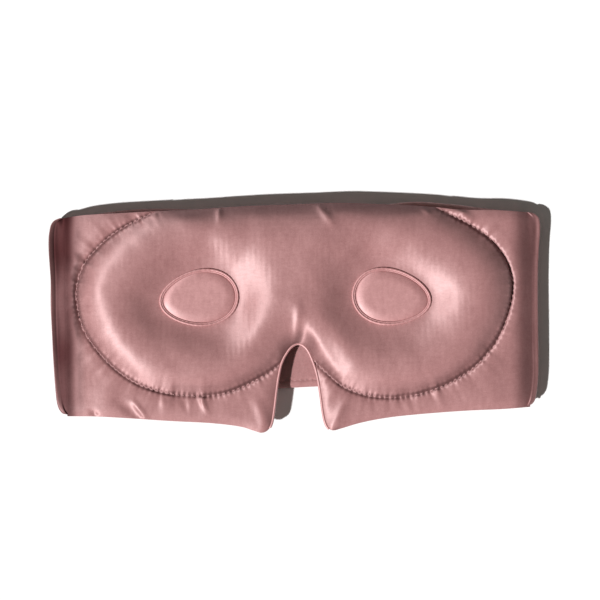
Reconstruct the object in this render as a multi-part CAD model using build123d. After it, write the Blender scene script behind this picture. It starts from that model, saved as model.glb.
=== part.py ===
from build123d import *

import math
import os

# Satin sleep eye mask, lying face side up with its two straps folded underneath and fastened.
# Frame: +X to the right, +Y towards the forehead, +Z up, out of the padded face side.
# The origin is the middle of the whole object in X and Y, on the surface it lies on. Millimetres.
# Layers of the front, from the bottom: outer satin, blackout cloth, padding or wadding, face satin.
# Each strap is a flat sleeve of two satins round an elastic core, and hangs on a turned fold of cloth.

os.makedirs("parts", exist_ok=True)

# ---- driving dimensions ----
satin = 0.5  # thickness of the satin with its seam allowance
blackout = 0.3
strap_thick = 3.0
fold_x = 104.5  # fold axis to the middle
fold_r = 6.0  # outer radius of the turned fold
pad_top = 19.5  # top of the padding above the table
eye_floor = 13.0  # underside of the satin at the bottom of an eye well
eye_centre = (43.4, 9.6)
eye_half_long = 17.3
eye_half_short = 12.1
eye_tilt = -10.0  # degrees, outer end lower
eye_taper = 0.16  # how much fuller the inner end of the egg is
seam_gap = 0.3  # room between cloth pieces of different bodies
reach = 80.0  # half length of a cutting body, past everything

hinge_z = fold_r
wing_low = 2 * fold_r - strap_thick
wing_high = 2 * fold_r
core_low = wing_low + satin + blackout
core_high = wing_high - satin

# Heights under the front, where the straps overlap.
tab_thick = 1.6
hook_thick = 1.0
thread_thick = 0.2
hook_top = tab_thick + hook_thick
loop_low = 3.1
loop_thick = 0.9
upper_low = loop_low + loop_thick  # underside of the right strap where it lies on the tab

# The straps in plan. Their middle line rises towards their ends, because they fold back at a slant.
left_end = 24.0
tab_end = 72.0
right_end = 16.0
fold_low, fold_high = -42.0, 46.0  # ends of the side folds
strap_low, strap_low_end = -40.5, -31.0  # chin edge at the fold and at the end
strap_high, strap_high_mid, strap_high_end = 46.5, 50.0, 49.5
strap_corner = 10.0
hem_inset = 3.0
hem_width = 0.5
core_inset = 4.0  # elastic core to the strap's edge
rise_start = 86.0  # the right strap starts to climb here, going inwards
rise_radius = 8.0

# Fastener patches, centred on the strap ends.
patch_y = 0.5 * (strap_low_end + strap_high_end)
tab_height = 56.0
hook_size = (38.0, 46.0)
loop_size = (42.0, 50.0)


# ---- plan outlines ----
def top_edge(inset):
    """Forehead edge as an arc, slightly bowed, from the right fold to the middle."""
    rise, side = 51.0 - inset, 48.0 - inset
    return ThreePointArc((fold_x, side), (fold_x / 2, side + 0.75 * (rise - side)), (0, rise))


def front_outline(inset=0.0):
    """Plan of the front between the folds, with its nose notch, taken in by a margin."""
    low = Spline(
        (fold_x, -42 + inset),
        (72, -43 + inset),
        (50, -44.8 + inset),
        (31.5, -47.2 + inset),
        (18.8 + inset / 2, -50.2 + inset),
    )
    notch_points = [(12.3, -45.4), (9.9, -31), (8.1, -23), (5.2, -16.6), (0, -11.3)]
    spread = [(1, 1), (1, 0.3), (1, 0.3), (0.8, 0.5), (0, 1)]
    notch = Spline(
        *[(x + dx * inset, y + dy * inset) for (x, y), (dx, dy) in zip(notch_points, spread)],
        tangents=[(-0.12, 1), (-1, 0)],
    )
    corner = Bezier(low @ 1, (13.4 + inset, -51.93 + inset), notch @ 0)
    side = Line((fold_x, low.position_at(0).Y), (fold_x, top_edge(inset).position_at(0).Y))
    half = low + corner + notch + side + top_edge(inset)
    return make_face(half + mirror(half, Plane.YZ))


def quilt_outline(inset=0.0):
    """Plan of the padded area: one quilting arc each side, closed beyond the top edge and the notch."""
    arc_points = [(65, 49), (79.5, 42.5), (90, 33.5), (96.5, 22), (98.6, 11), (96.8, 0), (92, -10)]
    arc_points += [(83.5, -20), (73, -27.7), (59, -32.8), (44, -34.7), (31, -33.4), (20.5, -29.6)]
    arc_points += [(8, -20.2)]
    middle = (46, 9)
    shrunk = []
    for x, y in arc_points:
        reach = math.hypot(x - middle[0], y - middle[1])
        share = 1 - inset / reach
        shrunk.append((middle[0] + (x - middle[0]) * share, middle[1] + (y - middle[1]) * share))
    arc = Spline(*shrunk)
    over = 60.0
    shoulder = (shrunk[0][0], over)
    half = arc + Line(arc @ 1, (0, shrunk[-1][1])) + Line(arc @ 0, shoulder) + Line(shoulder, (0, over))
    return make_face(half + mirror(half, Plane.YZ))


def egg(grow=0.0, side=1):
    """Plan of an eye panel, an egg with its full end towards the nose, grown by a margin."""
    points = []
    tilt = math.radians(eye_tilt)
    for step in range(12):
        turn = 2 * math.pi * step / 12
        along = (eye_half_long + grow) * math.cos(turn)
        across = (eye_half_short + grow) * math.sin(turn) * (1 - eye_taper * math.cos(turn))
        x = along * math.cos(tilt) - across * math.sin(tilt) + eye_centre[0]
        y = along * math.sin(tilt) + across * math.cos(tilt) + eye_centre[1]
        points.append((side * x, y))
    return make_face(Spline(*points, periodic=True))


def slab(face, low, high):
    """A flat plan made solid between two heights."""
    return extrude(Pos(0, 0, low) * face, amount=high - low)


def eye_well(side, grow=0.0):
    """The hollow over an eye panel: wide at the top of the padding, egg-shaped at its floor."""
    base = slab(egg(grow, side), eye_floor - 5, eye_floor + 1)
    flare = loft([Pos(0, 0, eye_floor + 1) * egg(grow, side), Pos(0, 0, pad_top + 2) * egg(grow + 6, side)])
    return base + flare


# ---- front body ----
def crowned(plan_at, margin, low, high):
    """A body with upright sides to the wing's height that then lean in, step by step, to the top."""
    rise = high - wing_high
    levels = [(0.0, 0.0), (0.45, 1.6), (0.8, 4.0), (1.0, 8.0)]
    sections = [Pos(0, 0, wing_high + share * rise) * plan_at(margin + lean) for share, lean in levels]
    return slab(plan_at(margin), low, wing_high) + loft(sections, ruled=True)


def padding(grow=0.0):
    """The raised padding, grown by a margin on its sides and top."""
    top = pad_top + grow
    block = crowned(quilt_outline, 1.2 - grow, core_low, top)
    block &= crowned(front_outline, 1.6 - grow, core_low, top)
    for side in (-1, 1):
        block -= eye_well(side, 1.0 - grow)
    return block


def wing_plan(side):
    """The flat area between the padding and one fold."""
    half_box = Pos(side * 60, 0, 0) * Rectangle(120, 140)
    return (front_outline(0.8) & half_box) - quilt_outline(-0.6)


def notch_binding():
    """The turned cloth edge along the nose notch."""
    area = Pos(0, -30, 0) * Rectangle(30, 42)
    return slab((front_outline(0) - front_outline(0.7)) & area, wing_low, wing_high)


def quilting_thread(side):
    """The run of thread along one quilting arc, lying on the face satin just outside the padding."""
    half_box = Pos(side * 60, 0, 0) * Rectangle(102, 140)
    run = (quilt_outline(-0.3) - quilt_outline(0.3)) & front_outline(1.0) & half_box
    return slab(run, wing_high, wing_high + thread_thick)


def front_body():
    core = padding()
    grown = padding(satin)
    wings = {side: slab(wing_plan(side), core_low, core_high) for side in (-1, 1)}
    sheet = slab(front_outline(0.8), core_high, wing_high)
    face_satin = (sheet + grown) - slab(front_outline(0), 0, core_high) - core
    threads = {side: quilting_thread(side) - face_satin for side in (-1, 1)}
    for side in (-1, 1):
        face_satin -= eye_well(side, 0.5)
    made = {
        "face_satin": face_satin,
        "pad_core": core,
        "blackout_cloth": slab(front_outline(0.8), wing_low + satin, core_low),
        "outer_satin": slab(front_outline(0.8), wing_low, wing_low + satin),
        "notch_binding": notch_binding(),
    }
    for name, side in (("left", -1), ("right", 1)):
        made[f"{name}_wing_wadding"] = wings[side]
        made[f"{name}_quilting_thread"] = threads[side]
        made[f"{name}_eye_wadding"] = slab(egg(-0.4, side), core_low, eye_floor)
        made[f"{name}_eye_panel"] = slab(egg(-0.8, side), eye_floor, eye_floor + satin)
        ring = egg(0.45, side) - egg(-0.75, side)
        made[f"{name}_eye_piping"] = slab(ring, eye_floor + satin, eye_floor + satin + 1.2)
    return made


# ---- straps, drawn for the left side ----
def strap_plan(end, inset=0.0):
    """Plan of a strap lying under the front, from the fold to its rounded end at x = end."""
    start = -fold_x + seam_gap
    tip = end - inset
    turn = tip - strap_corner
    round_off = 0.3 * strap_corner
    low, low_end = strap_low + inset, strap_low_end + inset
    high, high_mid, high_end = strap_high - inset, strap_high_mid - inset, strap_high_end - inset
    tip_low, tip_high = low_end + strap_corner, high_end - strap_corner
    outline = Line((start, low), (turn, low_end))
    outline += ThreePointArc((turn, low_end), (tip - round_off, low_end + round_off), (tip, tip_low))
    outline += Line((tip, tip_low), (tip, tip_high))
    outline += ThreePointArc((tip, tip_high), (tip - round_off, high_end - round_off), (turn, high_end))
    outline += ThreePointArc((turn, high_end), (0.5 * (turn + start), high_mid), (start, high))
    return make_face(outline + Line((start, high), (start, low)))


def hem_plan(end):
    """A run of thread parallel to a strap's long edges and round its end."""
    beside_fold = Pos(-fold_x + 2 + 200, 0) * Rectangle(400, 200)
    return (strap_plan(end, hem_inset) - strap_plan(end, hem_inset + hem_width)) & beside_fold


def climb_layer(low, high):
    """Side profile of one layer of the climbing strap, mirrored to the left like every profile here."""
    lift = upper_low
    swing = math.acos(1 - lift / (2 * rise_radius))
    run = rise_radius * math.sin(swing)
    start = -fold_x + seam_gap
    foot = -rise_start

    def edge(offset):
        inner, outer = rise_radius - offset, rise_radius + offset
        knee = (foot + inner * math.sin(swing), offset + inner * (1 - math.cos(swing)))
        half = swing / 2
        middle_low = (foot + inner * math.sin(half), offset + inner * (1 - math.cos(half)))
        crest_x = foot + 2 * run
        middle_high = (crest_x - outer * math.sin(half), lift - rise_radius + outer * math.cos(half))
        crest = (crest_x, lift + offset)
        return (
            Line((start, offset), (foot, offset))
            + ThreePointArc((foot, offset), middle_low, knee)
            + ThreePointArc(knee, middle_high, crest)
            + Line(crest, (reach, lift + offset))
        )

    ends = Line((start, low), (start, high)) + Line((reach, lift + low), (reach, lift + high))
    profile = make_face(edge(low) + edge(high) + ends)
    return extrude(Plane.XZ * profile, amount=reach, both=True)


def fold(side):
    """The turned cloth at one side: half a ring from the wing down to the strap."""
    plan = Circle(fold_r) - Circle(fold_r - strap_thick)
    half = plan & (Pos(-fold_r, 0) * Rectangle(2 * fold_r, 4 * fold_r))
    ring = extrude(Plane.XZ * half, amount=0.5 * (fold_high - fold_low), both=True)
    turned = Pos(-fold_x, 0.5 * (fold_high + fold_low), hinge_z) * ring
    return turned if side < 0 else mirror(turned, Plane.YZ)


def left_strap():
    plan = strap_plan(left_end)
    return {
        "left_strap_face_satin": slab(plan, 0, satin),
        "left_strap_elastic": slab(strap_plan(left_end, core_inset), satin, strap_thick - satin),
        "left_strap_outer_satin": slab(plan, strap_thick - satin, strap_thick),
        "left_strap_hem_thread": slab(hem_plan(left_end), strap_thick, strap_thick + thread_thick),
    }


def right_strap():
    """Built on the left and mirrored, so it climbs over the tab of the other strap."""
    end = -right_end
    below, above = -1, wing_high
    plan = slab(strap_plan(end), below, above)
    core = slab(strap_plan(end, core_inset), below, above)
    hem = slab(hem_plan(end), below, above)
    layers = {
        "right_strap_face_satin": climb_layer(0, satin) & plan,
        "right_strap_elastic": climb_layer(satin, strap_thick - satin) & core,
        "right_strap_outer_satin": climb_layer(strap_thick - satin, strap_thick) & plan,
        "right_strap_hem_thread": climb_layer(strap_thick, strap_thick + thread_thick) & hem,
    }
    return {name: mirror(solid, Plane.YZ) for name, solid in layers.items()}


# ---- fastener ----
def patch(size, centre_x, shrink=0.0, corner=4.0):
    width, height = size[0] - shrink, size[1] - shrink
    return Pos(centre_x, patch_y, 0) * RectangleRounded(width, height, corner - 0.5 * shrink)


def stitch_ring(size, centre_x):
    """Thread sewn round a patch, just inside its edge."""
    return patch(size, centre_x, 2.0) - patch(size, centre_x, 3.0)


def fastener():
    tab_start = left_end + seam_gap
    tab_x = 0.5 * (tab_start + tab_end)
    patch_x = tab_x + 1
    tab_plan = patch((tab_end - tab_start, tab_height), tab_x, corner=6.0)
    return {
        "closure_tab": slab(tab_plan, 0, tab_thick),
        "hook_patch": slab(patch(hook_size, patch_x), tab_thick, hook_top),
        "hook_patch_thread": slab(stitch_ring(hook_size, patch_x), hook_top, hook_top + thread_thick),
        "loop_patch": slab(patch(loop_size, patch_x), loop_low, upper_low),
        "loop_patch_thread": slab(stitch_ring(loop_size, patch_x), loop_low - thread_thick / 2, loop_low),
    }


nodes = front_body() | left_strap() | right_strap() | fastener()
nodes["left_fold"] = fold(-1)
nodes["right_fold"] = fold(1)
for name, solid in nodes.items():
    export_step(solid, f"parts/{name}.step")
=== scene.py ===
import math

import bmesh
import bpy
import numpy as np
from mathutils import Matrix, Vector, geometry, noise


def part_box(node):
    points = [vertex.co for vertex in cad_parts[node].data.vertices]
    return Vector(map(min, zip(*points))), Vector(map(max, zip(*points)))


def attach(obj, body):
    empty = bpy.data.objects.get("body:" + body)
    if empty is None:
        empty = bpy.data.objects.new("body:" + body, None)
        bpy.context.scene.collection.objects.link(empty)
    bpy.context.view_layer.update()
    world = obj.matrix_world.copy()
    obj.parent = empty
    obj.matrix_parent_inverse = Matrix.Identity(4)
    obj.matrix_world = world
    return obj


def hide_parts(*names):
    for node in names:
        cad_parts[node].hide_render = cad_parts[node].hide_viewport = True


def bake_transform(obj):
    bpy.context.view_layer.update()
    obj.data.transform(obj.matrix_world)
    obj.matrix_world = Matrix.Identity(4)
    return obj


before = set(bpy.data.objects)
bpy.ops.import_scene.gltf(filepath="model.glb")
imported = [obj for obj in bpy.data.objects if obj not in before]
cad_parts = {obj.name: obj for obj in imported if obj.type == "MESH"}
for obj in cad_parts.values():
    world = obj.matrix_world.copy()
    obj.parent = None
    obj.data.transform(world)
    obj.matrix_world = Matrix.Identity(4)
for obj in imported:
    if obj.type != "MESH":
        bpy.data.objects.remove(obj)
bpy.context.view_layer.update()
mm = 0.001


def boxMm(node):
    low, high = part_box(node)
    return np.array(low) / mm, np.array(high) / mm


# heights and widths of the mask in millimetres, all read from the frame
size = {
    "foldX": boxMm("outer_satin")[1][0],
    "under": boxMm("outer_satin")[0][2],
    "wing": boxMm("left_quilting_thread")[0][2],
    "padTop": boxMm("face_satin")[1][2],
    "eyeFloor": boxMm("left_eye_panel")[0][2],
    "strap": boxMm("left_strap_outer_satin")[1][2],
    "upperStrap": boxMm("right_strap_face_satin")[1][2] - boxMm("left_strap_face_satin")[1][2],
}
print("frame loaded, front is", round(2 * size["foldX"]), "mm between its folds")

# the plan of the front, in millimetres from its middle, as it was cut and sewn
front = {
    "top": [(-104.5, 46.6), (-95, 47.7), (-80, 48.3), (-65, 48.9), (-50, 49.3), (-35, 50.1), (-20, 50.8),
            (0, 51.2), (18, 51.6), (35, 50.9), (50, 50.0), (65, 48.7), (75, 47.6), (90, 47.3), (104.5, 46.2)],
    "chin": [(-104.5, -43.0), (-92, -43.2), (-78, -44.1), (-58, -45.7), (-40, -46.9), (-27, -48.6),
             (-20.5, -50.6), (-17, -51.6), (-14.2, -50.6), (-12.2, -47.4), (-11.0, -41), (-10.0, -33.5),
             (-8.9, -26.5), (-7.2, -19.8), (-4.4, -14.8), (-1.8, -12.3), (0.3, -11.7), (2.6, -12.7),
             (4.9, -15.6), (7.4, -21.9), (8.9, -28.1), (9.9, -34.9), (10.8, -42.6), (11.8, -47.4),
             (13.2, -50.0), (15.4, -51.0), (19, -50.2), (28, -47.7), (40, -45.6), (55, -44.2), (75, -43.0),
             (92, -42.5), (104.5, -41.8)],
    "leftArc": [(-60.5, 50.5), (-67.4, 47.1), (-75.7, 43.1), (-84.1, 37.9), (-91.1, 31.2), (-96.2, 24.3),
                (-99.2, 14.9), (-98.9, 6.2), (-96.9, -2.4), (-93.0, -9.6), (-86.7, -17.8), (-79.4, -24.4),
                (-70.4, -29.8), (-58.9, -33.3), (-45.7, -34.6), (-36.7, -34.1), (-28.1, -31.8),
                (-19.4, -27.8), (-13.3, -24.5), (-8.4, -20.8)],
    "rightArc": [(60.5, 50.5), (70.7, 44.9), (79.8, 39.9), (88.2, 33.4), (94.4, 24.4), (97.0, 14.9),
                 (95.9, 4.5), (92.4, -5.7), (87.2, -14.7), (79.6, -22.9), (68.6, -29.9), (61.0, -33.1),
                 (52.3, -35.5), (42.0, -36.6), (30.8, -35.5), (20.5, -31.6), (13.3, -25.6), (8.0, -20.6)],
    # how far out each side fold reaches at a height of the plan
    "leftEdge": [(-43.4, 106.6), (-38, 108.9), (-30, 109.8), (-16, 110.7), (0, 111.2), (18, 111.3),
                 (33, 111.8), (41, 111.4), (45.0, 109.9), (46.8, 107.0)],
    "rightEdge": [(-42.2, 105.4), (-37, 107.3), (-27, 108.6), (-11, 108.6), (5, 108.7), (18, 108.9),
                  (30, 109.6), (38, 110.1), (43.4, 109.7), (46.3, 107.2)],
    "spacing": 0.85,
    "fineSpacing": 0.55,
}
eyes = {
    "left": {"centre": (-44.1, 9.5), "turn": 6.0},
    "right": {"centre": (42.5, 8.7), "turn": 8.5},
    "halfLong": 17.3,
    "halfShort": 12.1,
    "taper": 0.16,
}


def softLine(points, perSpan=12, closed=False):
    # Catmull-Rom curve through the points
    p = np.array(points, float)
    if closed:
        p = np.vstack([p[-1:], p, p[:2]])
    else:
        p = np.vstack([2 * p[0] - p[1], p, 2 * p[-1] - p[-2]])
    t = np.linspace(0, 1, perSpan, endpoint=False)[:, None]
    spans = []
    for a, b, c, d in zip(p[:-3], p[1:-2], p[2:-1], p[3:]):
        bend = (2 * a - 5 * b + 4 * c - d) * t**2 + (3 * b - a - 3 * c + d) * t**3
        spans.append(0.5 * (2 * b + (c - a) * t + bend))
    line = np.vstack(spans)
    return line if closed else np.vstack([line, p[-2:-1]])


def evenly(line, step, closed=False):
    # the same line with points a step apart
    if closed:
        line = np.vstack([line, line[:1]])
    gaps = np.linalg.norm(np.diff(line, axis=0), axis=1)
    along = np.concatenate([[0], np.cumsum(gaps)])
    count = max(2, int(round(along[-1] / step)))
    wanted = np.linspace(0, along[-1], count + 1)
    if closed:
        wanted = wanted[:-1]
    return np.stack([np.interp(wanted, along, line[:, k]) for k in range(line.shape[1])], axis=1)


def nearest(points, line):
    # distance to a line, and how far along it the nearest place is
    best = np.full(len(points), 1e9)
    where = np.zeros(len(points))
    travelled = 0.0
    for a, b in zip(line[:-1], line[1:]):
        ab = b - a
        length = math.hypot(*ab)
        if length < 1e-9:
            continue
        t = np.clip(((points - a) @ ab) / length**2, 0, 1)
        d = np.hypot(points[:, 0] - a[0] - t * ab[0], points[:, 1] - a[1] - t * ab[1])
        closer = d < best
        best[closer] = d[closer]
        where[closer] = travelled + t[closer] * length
        travelled += length
    return best, where


def inside(points, loop):
    x, y = points[:, 0], points[:, 1]
    odd = np.zeros(len(points), bool)
    for (ax, ay), (bx, by) in zip(loop, np.roll(loop, -1, axis=0)):
        crosses = (ay > y) != (by > y)
        if ay != by:
            odd ^= crosses & (x < (bx - ax) * (y - ay) / (by - ay) + ax)
    return odd


def eggLine(side, grow=0.0, count=96):
    eye = eyes[side]
    out = -1 if side == "left" else 1
    turn = math.radians(eye["turn"])
    a = np.linspace(0, 2 * math.pi, count, endpoint=False)
    along = -(eyes["halfLong"] + grow) * np.cos(a)
    across = (eyes["halfShort"] + grow) * np.sin(a) * (1 + eyes["taper"] * np.cos(a))
    # along points outwards, and the outer end sits lower
    x = out * (along * math.cos(turn) + across * math.sin(turn))
    y = -along * math.sin(turn) + across * math.cos(turn)
    return np.stack([eye["centre"][0] + x, eye["centre"][1] + y], axis=1)


lines = {
    "top": evenly(softLine(front["top"]), 0.8),
    "chin": evenly(softLine(front["chin"]), 0.6),
    "leftArc": evenly(softLine(front["leftArc"]), 0.6),
    "rightArc": evenly(softLine(front["rightArc"]), 0.6),
    "leftEye": eggLine("left"),
    "rightEye": eggLine("right"),
}
outline = np.vstack([lines["chin"], lines["top"][::-1]])
padLoops = [
    np.vstack([lines["leftArc"], [(0, lines["leftArc"][-1][1]), (0, 60), (-60.5, 60)]]),
    np.vstack([lines["rightArc"], [(0, lines["rightArc"][-1][1]), (0, 60), (60.5, 60)]]),
]
notchPart = np.array([p for p in lines["chin"] if abs(p[0]) < 12.5])


def ease(t):
    t = np.clip(t, 0, 1)
    return t * t * (3 - 2 * t)


def crown(d, reach, rise, power=2.0):
    return rise * (1 - (1 - np.clip(d / reach, 0, 1)) ** power)


def lesser(heights, soft=1.2):
    # the lowest of several surfaces, with the creases between them rounded
    return -soft * np.log(sum(np.exp(-h / soft) for h in heights))


# the turned side: a gentle fall over the wing, a steep one near the edge, then a rounded nose
roll = {"top": 12.5, "gentleFrom": 86.0, "gentle": 0.11, "steepFrom": 100.5, "steep": 0.36, "soft": 1.1,
        "nose": 2.7, "noseHeight": 7.2}


def edgeAt(side, y):
    points = front["leftEdge"] if side < 0 else front["rightEdge"]
    line = softLine(points)
    return np.interp(y, line[:, 0], line[:, 1])


def rollHeight(x, y):
    # height of the outer cloth over a wing
    def past(start):
        return roll["soft"] * np.log1p(np.exp(np.clip((np.abs(x) - start) / roll["soft"], -30, 30)))

    return roll["top"] - roll["gentle"] * past(roll["gentleFrom"]) - roll["steep"] * past(roll["steepFrom"])


def ripple(x, y, scale, seed):
    return np.array([noise.noise((a * scale, b * scale, seed)) for a, b in zip(x, y)])


# the quilting line: stitch pitch and length, thickness of the thread, and how deep it pulls the satin
stitching = {"pitch": 2.35, "long": 1.4, "thread": 0.33, "depth": 0.55}


class Plan:
    # distances of a set of points to every seam and edge of the front
    def __init__(self, points):
        self.x, self.y = points[:, 0], points[:, 1]
        self.top, _ = nearest(points, lines["top"])
        self.chin, _ = nearest(points, lines["chin"])
        self.notch, _ = nearest(points, notchPart)
        left, leftAlong = nearest(points, lines["leftArc"])
        right, rightAlong = nearest(points, lines["rightArc"])
        self.arc = np.minimum(left, right)
        self.arcAlong = np.where(left < right, leftAlong, rightAlong + 200 * stitching["pitch"])
        self.inPad = inside(points, padLoops[0]) | inside(points, padLoops[1])
        leftEye, _ = nearest(points, np.vstack([lines["leftEye"], lines["leftEye"][:1]]))
        rightEye, _ = nearest(points, np.vstack([lines["rightEye"], lines["rightEye"][:1]]))
        self.eye = np.minimum(leftEye, rightEye)
        self.inEye = inside(points, lines["leftEye"]) | inside(points, lines["rightEye"])
        self.free = np.minimum(self.top, self.chin)


shape = {
    "seam": 10.9,  # height of the sewn line
    "edge": 10.5,  # height of the turned edges
    "padReach": 25.0,
    "padPower": 2.3,  # over 2, the padding stands up more steeply at the sewn line
    "topReach": 15.0,
    "notchReach": 16.0,
    "basinReach": 21.0,
    "basinFloor": 13.2,
    "wingReach": 9.0,
    "wingRise": 2.6,
    "wingMost": 12.6,
}


def foam(plan):
    # the padding's own shape under the satin, before the cloth settles on it
    rise = size["padTop"] - 0.4
    overSeam = rise - shape["seam"] + 0.6
    fromArc = shape["seam"] + crown(plan.arc, shape["padReach"], overSeam, shape["padPower"])
    fromTop = shape["edge"] + crown(plan.top, shape["topReach"], rise - shape["edge"] + 0.4)
    fromNotch = shape["edge"] + crown(plan.notch, shape["notchReach"], rise - shape["edge"])
    depth = rise - shape["basinFloor"] + 0.8
    basin = shape["basinFloor"] + depth * ease(0.04 + 0.96 * plan.eye / shape["basinReach"])
    pad = lesser([fromArc, fromTop, fromNotch, basin])
    wing = shape["edge"] + crown(plan.free, shape["wingReach"], shape["wingRise"])
    besideSeam = shape["seam"] + crown(plan.arc, 6.0, 1.6)
    wing = lesser([wing, besideSeam, np.full(len(wing), shape["wingMost"])], 0.5)
    wing = np.minimum(wing, 13) - (roll["top"] - rollHeight(plan.x, plan.y))
    return np.where(plan.inPad, pad, wing)


def addObject(name, data):
    made = bpy.data.objects.new(name, data)
    bpy.context.scene.collection.objects.link(made)
    return made


def meshPiece(name, points, faces, edges=()):
    # points are in millimetres
    mesh = bpy.data.meshes.new(name)
    mesh.from_pydata([tuple(p) for p in np.asarray(points, float) * mm], edges, [tuple(f) for f in faces])
    if len(faces):
        mesh.validate()
        mesh.shade_smooth()
    return addObject(name, mesh)


def readAll(items, key, width, kind=float):
    found = np.zeros(len(items) * width, kind)
    items.foreach_get(key, found)
    return found.reshape(-1, width)


def places(piece):
    # the points of a piece, in metres
    return readAll(piece.data.vertices, "co", 3)


def onlyUsed(cells):
    # the numbers of the points that the cells use, and the cells in new numbers
    used, renumbered = np.unique(cells, return_inverse=True)
    return used, renumbered.reshape(cells.shape)


def pointOut(piece, upwards=False, merge=0):
    # the faces of a closed piece point outwards, those of an open sheet upwards
    bm = bmesh.new()
    bm.from_mesh(piece.data)
    if merge:
        bmesh.ops.remove_doubles(bm, verts=bm.verts, dist=merge)
    bmesh.ops.recalc_face_normals(bm, faces=bm.faces)
    if (sum(f.normal.z for f in bm.faces) if upwards else bm.calc_volume(signed=True)) < 0:
        bmesh.ops.reverse_faces(bm, faces=bm.faces)
    bm.to_mesh(piece.data)
    bm.free()


def squareGrid(xs, ys):
    # the points of a grid, and its square cells
    gx, gy = np.meshgrid(xs, ys)
    number = np.arange(gx.size).reshape(gx.shape)
    cells = np.stack([number[:-1, :-1], number[:-1, 1:], number[1:, 1:], number[1:, :-1]], axis=-1)
    return np.stack([gx.ravel(), gy.ravel()], axis=1), cells.reshape(-1, 4)


class Wire:
    # a socket that can be added, multiplied and so on; each sum becomes a Math node
    def __init__(self, tree, socket):
        self.tree = tree
        self.socket = socket

    def make(self, kind, settings=None, inputs=None, out=0):
        node = self.tree.nodes.new(kind)
        for key, value in (settings or {}).items():
            setattr(node, key, value)
        for key, value in (inputs or {}).items():
            if isinstance(value, Wire):
                self.tree.links.new(value.socket, node.inputs[key])
            else:
                node.inputs[key].default_value = value
        return Wire(self.tree, node.outputs[out])

    def maths(self, operation, *values):
        return self.make("ShaderNodeMath", {"operation": operation}, dict(enumerate(values)))

    def __add__(self, other):
        return self.maths("ADD", self, other)

    def __sub__(self, other):
        return self.maths("SUBTRACT", self, other)

    def __rsub__(self, other):
        return self.maths("SUBTRACT", other, self)

    def __mul__(self, other):
        return self.maths("MULTIPLY", self, other)

    __radd__ = __add__
    __rmul__ = __mul__


def newMaterial(name, base, roughness, constants):
    # a material with a Principled shader; returns it, a wire to build with, and the shader node
    material = bpy.data.materials.new(name)
    material.use_nodes = True
    tree = material.node_tree
    shader = tree.nodes["Principled BSDF"]
    shader.inputs["Base Color"].default_value = (*base, 1)
    shader.inputs["Roughness"].default_value = roughness
    for socket, value in constants.items():
        shader.inputs[socket].default_value = value
    start = Wire(tree, None)
    return material, start, shader


def feed(wire, shader, socket):
    wire.tree.links.new(wire.socket, shader.inputs[socket])


def colourMix(start, share, first, second):
    return start.make("ShaderNodeMix", {"data_type": "RGBA"}, {"Factor": share, 6: first, 7: second}, out=2)


def speckle(start, where, scale, detail, rough=0.5):
    wanted = {"Vector": where, "Scale": scale, "Detail": detail, "Roughness": rough}
    return start.make("ShaderNodeTexNoise", {}, wanted)


def bands(start, direction, scale, distortion=0.0):
    where = start.make("ShaderNodeTexCoord", out=3)
    return start.make("ShaderNodeTexWave", {"wave_type": "BANDS", "bands_direction": direction},
                      {"Vector": where, "Scale": scale, "Distortion": distortion})


def dye(start, shader, share, dark, light):
    feed(colourMix(start, share, (*dark, 1), (*light, 1)), shader, "Base Color")


def emboss(start, shader, height, strength, distance):
    wanted = {"Height": height, "Strength": strength, "Distance": distance}
    feed(start.make("ShaderNodeBump", {}, wanted), shader, "Normal")


satinLook = {
    "deep": (0.370, 0.166, 0.164),
    "light": (0.535, 0.266, 0.263),
    # colour of the painted shade on the steep sides, steep slopes and in the quilting groove
    "turned": (0.060, 0.012, 0.013),
    "glint": (0.72, 1.0, 1.0),  # the gloss is a little cooler than the cloth
    "metallic": 0.22,
    "roughness": 0.60,
    "spread": 0.87,  # anisotropy: the gloss is wide across the floating threads and narrow along them
    "coat": 0.28,
    "coatRoughness": 0.48,
    "slub": 560,  # uneven threads per metre
    "cloud": 42.0,  # soft patches per metre
    "bump": 0.3,
}


def satinMaterial(name, **own):
    # broad tinted gloss of the dyed threads, with a narrower white gloss on top of it
    look = {**satinLook, "tint": 1.0, **own}
    roughness, coat = look["roughness"], look["coat"]
    constants = {"Metallic": look["metallic"], "Coat Roughness": look["coatRoughness"], "Coat IOR": 1.5,
                 "Coat Weight": coat, "Sheen Weight": 0.1, "Sheen Roughness": 0.4, "Specular IOR Level": 1.0,
                 "Specular Tint": (*look["glint"], 1), "Anisotropic": look["spread"],
                 "Anisotropic Rotation": 0.25}
    material, start, shader = newMaterial(name, look["light"], roughness, constants)
    feed(start.make("ShaderNodeTangent", {"direction_type": "UV_MAP", "uv_map": "cloth"}), shader, "Tangent")
    cloth = start.make("ShaderNodeUVMap", {"uv_map": "cloth"})
    warp = start.make("ShaderNodeMapping", {}, {"Vector": cloth, "Scale": (1, 0.4, 1)})
    weft = start.make("ShaderNodeMapping", {}, {"Vector": cloth, "Scale": (0.55, 1.15, 1)})
    slub = speckle(start, warp, look["slub"], 4.0)
    cross = speckle(start, weft, look["slub"] * 1.3, 3.0)
    cloud = speckle(start, cloth, look["cloud"], 4.0)
    grain = speckle(start, cloth, look["slub"] * 3.2, 2.0)
    shade = 0.8 * slub + 0.5 * cross + 0.9 * grain + 0.7 * cloud - 0.95
    deep, light = [tuple(c * look["tint"] for c in look[k]) + (1,) for k in ("deep", "light")]
    # the turn attribute mixes the painted shade colour into the base colour, and shifts roughness, coat and
    # metallic there
    turn = start.make("ShaderNodeAttribute", {"attribute_name": "turn"}, out=2)
    dyed = colourMix(start, shade, deep, light)
    feed(colourMix(start, turn, dyed, (*look["turned"], 1)), shader, "Base Color")
    feed(roughness - 0.08 + 0.12 * slub + 0.06 * cloud + 0.2 * turn, shader, "Roughness")
    feed((coat - 0.35 + 0.5 * cross + 0.2 * slub) * (1.0 - 0.96 * turn), shader, "Coat Weight")
    feed(look["metallic"] + 0.74 * turn, shader, "Metallic")
    emboss(start, shader, 0.6 * slub + 0.4 * cross, look["bump"], 0.0002)
    return material


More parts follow.
